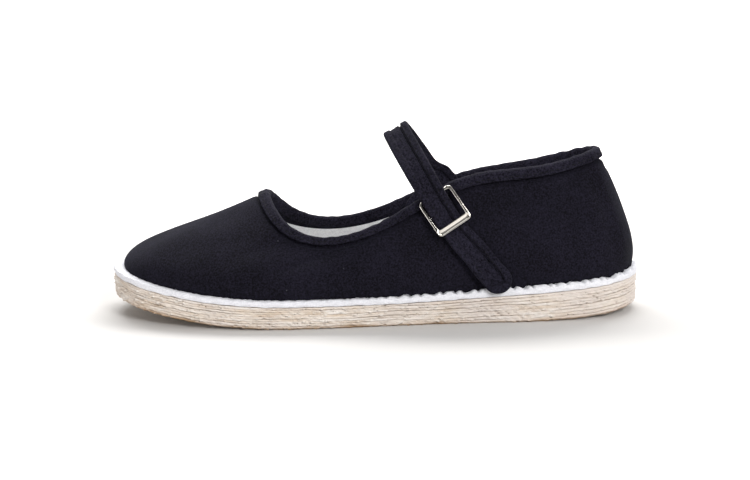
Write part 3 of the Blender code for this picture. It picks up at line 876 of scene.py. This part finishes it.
# Pasted cotton: matt, cream to white ply by ply, painted shade in its lines and pits, brown along
# the ground.
pasted_cotton, tree, shader = new_material(
    "pasted_cotton_plies", Roughness=0.95, Specular_IOR_Level=0.2
)
place = put(tree, "ShaderNodeTexCoord").outputs["Object"]
long_place = put(tree, "ShaderNodeMapping", {"Vector": place, "Scale": (1, 1, 6)}).outputs[0]
fibres = noise(tree, long_place, 900, 3)
patches = noise(tree, place, 28, 2)
groove_shade_kept, level_kept, tone_kept = (
    put(tree, "ShaderNodeAttribute", attribute_name=name).outputs["Fac"]
    for name in ("groove", "level", "tone")
)
base = mixed(tree, tone_kept, srgb(CREAM), srgb(WHITE))
tinted = mixed(tree, ranged(tree, patches, 0.45, 0.75), base, srgb(GREYER))
# Painted shade: lines and pits are darkened in the colour, as shade would darken a recess.
line_shade_share = ranged(tree, groove_shade_kept, 0.2, 1, 0, 0.72)
line_shaded_colour = mixed(tree, line_shade_share, tinted, srgb(LINE_SHADE_BROWN))
rubbed = math_of(tree, "MULTIPLY_ADD", patches, 0.35, level_kept)
stain = ranged(tree, rubbed, *STAIN_RANGE, 0.9, 0)
stained = mixed(tree, stain, line_shaded_colour, srgb(RUBBED_BROWN))
tree.links.new(stained, shader.inputs["Base Color"])
tree.links.new(relief(tree, fibres, 0.6, 0.2 * MM), shader.inputs["Normal"])
paint(plies, pasted_cotton)
close_up(plies, 80)
finish_piece(plies, ["sole"])

# %% [markdown]
# ## The tape over the topline
# A bias tape is folded over the raw edge and sewn down through both sides. On such shoes
# it is a strip about 20 mm wide. Here the fold follows the CAD tape's own section, which a
# closed spline rounds, and each stitch of the seam draws it in a little.

# %% The tape
TAPE_COUNT = 640
TAPE_ACROSS = 40
TAPE_STITCH = 2.8 * MM
TAPE_PULL = 0.16 * MM
TAPE_WAVES = 0.12 * MM
SEAM_UP = 0.9 * MM
SEAM_HALF = 0.5 * MM
tape_rows = from_heel(
    rows_of("topline_binding", near=TAPE_NEAR, along=(-1, 0, 0), below=0, above=17)
)
tape_around = even_places(tape_rows[0], TAPE_COUNT)
tape_columns = spline(tape_rows.swapaxes(0, 1), tape_around, closed=True)
tape = spline(
    tape_columns.swapaxes(0, 1), np.linspace(0, len(tape_rows), TAPE_ACROSS + 1), closed=True
)
tape_share = shares(tape[0])
tape_stitches = round(lengths(tape[0])[-1] / TAPE_STITCH)
tape_up = lengths(tape)
drawn_in = 0.55 + 0.45 * np.cos(2 * np.pi * tape_share * tape_stitches)
tape_move = -TAPE_PULL * bump(tape_up, SEAM_UP, SEAM_HALF) * drawn_in
tape_move += TAPE_WAVES * uneven_sheet(tape_share, tape_up / tape_up[-1], (20, 80), (0, 1), 44)
tape = tape + outward(tape) * tape_move[:, :, None]
topline_tape = lay("topline_tape", tape, cloth_pattern(tape))
paint(topline_tape, black_bias_tape)
close_up(topline_tape, 80)
finish_piece(topline_tape, ["topline_binding"])

# %% [markdown]
# ## The strap
# The strap is a band of black cotton whose two long edges are bound, with its tail rounded
# off. It is modelled as it would be sewn, flat: a height over the cloth depends only on how
# far a point lies from the outline, so the binding turns round the tail by itself. Then it
# is laid along the path of the CAD strap, over the instep and down through the buckle.

# %% The strap's path
STRAP_HALF = 1.2 * MM
BINDING = 3.7 * MM
BINDING_RISE = 0.35 * MM
GROOVE_DEPTH = 1.3 * MM
GROOVE_HALF = 0.45 * MM
EDGE_ROUND = 1.1 * MM
TAIL_ROUND = 6.4 * MM
TAIL_MORE = 0.6 * MM
FOOT_CORNER = 3.0 * MM
STRAP_TOP = (0.033, 0, 0.12)
# Steps of the CAD strap from its top to its foot and to its tail.
TO_FOOT, TO_TAIL = 24, 36
# Corners of the CAD strap's section: its two edges, and its flat faces.
FRONT_EDGE, REAR_EDGE, OVER, UNDER = 11, 2, (14, 15), (5, 6)
cage = cad_copy("strap")
bm = bmesh.new()
bm.from_mesh(cage.data)
start = min(bm.verts, key=lambda vert: (vert.co - Vector(STRAP_TOP)).length)
lines_along = []
for vert in walk(start, (1, 0, -0.6)):
    back = walk(vert, (0, 1, 0))[TO_FOOT:0:-1]
    lines_along.append([v.co.copy() for v in back + walk(vert, (0, -1, 0))[: TO_TAIL + 1]])
bm.free()
bpy.data.objects.remove(cage)
rings = np.array(lines_along).swapaxes(0, 1)
front_line, rear_line = rings[:, FRONT_EDGE], rings[:, REAR_EDGE]
middle_line = (front_line + rear_line) / 2
facing = rings[:, OVER].mean(axis=1) - rings[:, UNDER].mean(axis=1)
path = np.stack([middle_line, rear_line - front_line, facing], axis=1)
fine_path = spline(path, np.linspace(0, len(path) - 1, 2000))
run = lengths(fine_path[:, 0])
strap_length = run[-1] + TAIL_MORE
# The tail keeps one width, that of the strap just before it.
full_width = np.linalg.norm(fine_path[:, 1], axis=-1)
tail_half = np.interp(strap_length - 2 * TAIL_ROUND, run, full_width) / 2
print("the strap is", round(strap_length / MM), "mm long")

# %% [markdown]
# ## The strap's section
# The cloth's height comes from the distance to the outline: a rounded edge, the binding,
# then a groove where the binding's seam pulls in. The groove is deep along the rear edge
# and faint along the front one. The binding stands higher on top than underneath.

# %% The strap's section
TOP_RISE = 2 * BINDING_RISE


def along_strap(distance):
    """Centre, unit width, unit facing and half width of the strap at distances from its foot."""
    def at(values):
        columns = [np.interp(distance, run, column) for column in values.T]
        return np.stack(columns, axis=-1)

    centre, width, face = (at(fine_path[:, k]) for k in range(3))
    tangent = fine_path[-1, 0] - fine_path[-40, 0]
    tangent /= np.linalg.norm(tangent)
    centre = centre + np.clip(distance - run[-1], 0, None)[..., None] * tangent
    half = np.linalg.norm(width, axis=-1) / 2
    half = np.where(distance > strap_length - 2 * TAIL_ROUND, tail_half, half)
    width = width / np.linalg.norm(width, axis=-1, keepdims=True)
    face = face - width * (face * width).sum(axis=-1, keepdims=True)
    return centre, width, face / np.linalg.norm(face, axis=-1, keepdims=True), half


def rounded(inside):
    """Share of its full height that a rounded edge has, at a distance inside the outline."""
    return np.sqrt(1 - (1 - np.clip(inside / EDGE_ROUND, 0, 1)) ** 2)


def cloth_height(inside, side, bound_rise):
    """Height of the strap's face over its middle layer, at a distance inside the outline."""
    bound = 1 - smooth_step(inside, BINDING - 0.3 * MM, BINDING + 0.1 * MM)
    bound_rise = bound_rise * bound * (0.75 + 0.25 * side)
    depth = GROOVE_DEPTH * (0.56 + 0.44 * side)
    groove = depth * bump(inside, BINDING + 0.2 * MM, GROOVE_HALF)
    return rounded(inside) * (STRAP_HALF - BINDING_RISE + bound_rise - groove)


print("the strap's binding is", round(BINDING / MM, 1), "mm wide")

# %% [markdown]
# ## Laying the strap's cloth
# A grid of points is set out flat, closer together at the edges, at the foot's corners and
# round the tail. Each point gets its height from the section, and is then carried to its
# place along the path. Soft waves keep the top from looking pressed.

# %% The strap's cloth
FOOT_STEPS, STRAIGHT_STEPS, TAIL_STEPS = 11, 302, 47
STRAP_ACROSS = 88
STRAP_WAVES = 0.10 * MM
tail_from = strap_length - TAIL_ROUND
distance = np.concatenate(
    [
        np.linspace(0, FOOT_CORNER, FOOT_STEPS, endpoint=False),
        np.linspace(FOOT_CORNER, tail_from, STRAIGHT_STEPS),
        tail_from + TAIL_ROUND * np.sin(np.linspace(0, np.pi / 2, TAIL_STEPS + 1)[1:]),
    ]
)
centre, width, face, half = along_strap(distance)
past_tail = np.clip(distance - tail_from, 0, TAIL_ROUND)
half = half * np.sqrt(np.clip(1 - (past_tail / TAIL_ROUND) ** 2, 0, 1))
before_corner = np.clip(FOOT_CORNER - distance, 0, FOOT_CORNER)
half = half - FOOT_CORNER + np.sqrt(FOOT_CORNER**2 - before_corner**2)
sway = np.sin(np.linspace(-np.pi / 2, np.pi / 2, STRAP_ACROSS + 1))
x = half[:, None] * sway
past_tail = past_tail[:, None]
inside_tail = (1 - np.hypot(past_tail / TAIL_ROUND, x / tail_half)) * TAIL_ROUND
inside = np.where(past_tail > 0, inside_tail, half[:, None] - np.abs(x))
at_foot = rounded(distance)[:, None]
top = cloth_height(inside, np.sign(x), TOP_RISE) * at_foot
under = -cloth_height(inside, np.sign(x), BINDING_RISE) * at_foot
strap_share = distance[:, None] / strap_length
waves = STRAP_WAVES * uneven_sheet(strap_share, sway[None] / 2, (4, 30), (0, 2), 61)
top = top + waves * np.clip(inside / BINDING, 0, 1)
flat = np.concatenate([x, x[:, -2::-1]], axis=1)
high = np.concatenate([top, under[:, -2::-1]], axis=1)
strap = centre[:, None] + width[:, None] * flat[..., None] + face[:, None] * high[..., None]
strap_pattern = np.stack([np.broadcast_to(distance[:, None], flat.shape), flat], axis=2)
bound_strap = lay("bound_strap", strap, strap_pattern)
paint(bound_strap, black_bias_tape)
close_up(bound_strap, 80)
finish_piece(bound_strap, ["strap"])

# %% [markdown]
# ## Buckle and its tab
# The buckle is a flat frame bent from steel and plated with nickel: a thin rail on each side
# and a wide lip below that the strap slides under. A copy of its solid is subdivided, so
# its edges roll round and catch the light. A short loop of cloth holds its hidden bar.

# %% Buckle
# Nickel plate: mirror bright, with faint scratches that soften what it reflects.
nickel_plate, tree, shader = new_material(
    "polished_nickel_plate", Base_Color=srgb("#f3eee6"), Metallic=1.0, Roughness=0.1
)
place = put(tree, "ShaderNodeTexCoord").outputs["Object"]
scratches = ranged(tree, noise(tree, place, 700, 3), 0, 1, 0.02, 0.08)
tree.links.new(scratches, shader.inputs["Roughness"])

LIP_HIGH = 2.6 * MM
LIP_RIM = 0.85 * MM
LIP_TROUGH = 0.9 * MM
LIP_FACE_AREA = 1 * MM**2
LIP_FACING = 0.9
NEARBY = 30


def hollow_lip(piece):
    """Insets the face of the buckle's lip and presses it in, as the folded plate is."""
    middle = np.mean([vert.co for vert in piece.data.vertices], axis=0)
    near = int(np.linalg.norm(fine_path[:, 0] - middle, axis=1).argmin())
    down = Vector(fine_path[near + NEARBY, 0] - fine_path[near - NEARBY, 0]).normalized()
    out = Vector(fine_path[near, 2]).normalized()
    lowest = max(vert.co.dot(down) for vert in piece.data.vertices)
    with editing(piece) as bm:
        for face in bm.faces:
            low = lowest - face.calc_center_median().dot(down) < LIP_HIGH
            flat = face.normal.dot(out) > LIP_FACING and face.calc_area() > LIP_FACE_AREA
            face.select = low and flat
        print("lip faces:", sum(face.select for face in bm.faces))
        bpy.ops.mesh.inset(thickness=LIP_RIM, depth=-LIP_TROUGH)


def smooth_copy(node, name, levels, material, shape=None):
    """A solid's copy in quads, rounded by subdivision, standing for the solid."""
    piece = cad_copy(node)
    piece.name = name
    piece.data.name = name
    if shape:
        shape(piece)
    with editing(piece):
        bpy.ops.mesh.select_all(action="SELECT")
        bpy.ops.uv.cube_project(cube_size=1)
    piece.data.uv_layers[0].name = "Cloth"
    rounder = piece.modifiers.new("rounder", "SUBSURF")
    rounder.levels = rounder.render_levels = levels
    bpy.ops.object.modifier_apply(modifier="rounder")
    paint(piece, material)
    close_up(piece, 80)
    finish_piece(piece, [node])


smooth_copy("buckle", "nickel_buckle", 3, nickel_plate, hollow_lip)
smooth_copy("buckle_tab", "buckle_cloth_tab", 3, black_bias_tape)
smooth_copy("insole", "lined_insole", 2, cotton_lining)

# %% [markdown]
# ## How a stitch is made
# A stitch is one short thread, sunk a little in the cloth. One is made from a small sphere
# drawn long, and copied along each seam with its own place and turn.

# %% Stitches along a seam
def stitches(name, points, normals, length, half, material, lean=0.0):
    """Threads of one length centred on the points of a seam, lying along it or across it."""
    bpy.ops.object.select_all(action="DESELECT")
    bpy.ops.mesh.primitive_uv_sphere_add(segments=8, ring_count=6, radius=1)
    model = bpy.context.object
    coords = np.empty(len(model.data.vertices) * 3)
    model.data.vertices.foreach_get("co", coords)
    coords = coords.reshape(-1, 3)
    faces = [list(face.vertices) for face in model.data.polygons]
    bpy.data.objects.remove(model)
    along = np.roll(points, -1, 0) - np.roll(points, 1, 0)
    along /= np.linalg.norm(along, axis=1, keepdims=True)
    side = np.cross(normals, along)
    turned = along * math.cos(lean) + side * math.sin(lean)
    across = np.cross(normals, turned)
    verts = (
        points[:, None]
        + turned[:, None] * coords[None, :, 2:3] * length / 2
        + across[:, None] * coords[None, :, 0:1] * half
        + normals[:, None] * coords[None, :, 1:2] * half
    )
    all_faces = [
        [index + number * len(coords) for index in face]
        for number in range(len(points))
        for face in faces
    ]
    mesh = bpy.data.meshes.new(name)
    mesh.from_pydata(verts.reshape(-1, 3).tolist(), [], all_faces)
    piece = bpy.data.objects.new(name, mesh)
    scene.collection.objects.link(piece)
    paint(piece, material)
    bpy.ops.object.select_all(action="DESELECT")
    bpy.context.view_layer.objects.active = piece
    piece.select_set(True)
    bpy.ops.object.shade_smooth()
    finish_piece(piece, [])
    print(name, "has", len(points), "stitches")


def on_surface(surface, normals, row, count, phase=0.0):
    """Evenly spaced points of one row of a closed surface, and the normals there."""
    places = (np.arange(count) + phase) / count * (surface.shape[1] - 1)
    index = np.arange(surface.shape[1])
    point = np.stack([np.interp(places, index, surface[row, :, k]) for k in range(3)], axis=1)
    normal = np.stack([np.interp(places, index, normals[row, :, k]) for k in range(3)], axis=1)
    return point, normal / np.linalg.norm(normal, axis=1, keepdims=True)


THREAD_HALF = 0.16 * MM
print("the sewing thread is", round(2 * THREAD_HALF / MM, 2), "mm thick")

# %% [markdown]
# ## The seams
# The tape's seam runs just above its lower edge, and the strap's two seams hold its
# bindings down. The hand stitches at the foot are thicker, and lie nearly across the seam.

# %% The seams
# Each thread shows for this share of its stitch, and dives into the cloth at both ends.
THREAD_SHOWN = 0.72
THREAD_LIFT = 0.02 * MM
HAND_THREAD = 1.3 * MM
HAND_THREAD_HALF = 0.26 * MM
# The hand stitches turn this far from the seam, in radians.
HAND_LEAN = 1.2
STRAP_STITCH = 2.6 * MM
SEAM_INSIDE = BINDING - 0.75 * MM
FRONT_SUNK = 0.04 * MM
seam_row = int(np.searchsorted(tape_up.mean(axis=1), SEAM_UP))
points, normals = on_surface(tape, outward(tape), seam_row, tape_stitches, 0.5)
stitches("topline_stitches", points + normals * THREAD_LIFT, normals, THREAD_SHOWN * TAPE_STITCH,
         THREAD_HALF, black_thread)
points, normals = on_surface(outer, outward(outer), 1, stitch_count)
stitches("sole_stitches", points, normals, HAND_THREAD, HAND_THREAD_HALF, black_thread,
         HAND_LEAN)
straight = np.arange(EDGE_ROUND * 4, strap_length - TAIL_ROUND, STRAP_STITCH)
centre, width, face, half = along_strap(straight)
for side, edge in ((-1, "front"), (1, "rear")):
    lift = cloth_height(np.full(len(straight), SEAM_INSIDE), side, TOP_RISE)
    lift -= FRONT_SUNK * (1 - side)
    seam = centre + width * (side * (half - SEAM_INSIDE))[:, None] + face * lift[:, None]
    stitches("strap_stitches_" + edge, seam, face, THREAD_SHOWN * STRAP_STITCH, THREAD_HALF,
             black_thread)
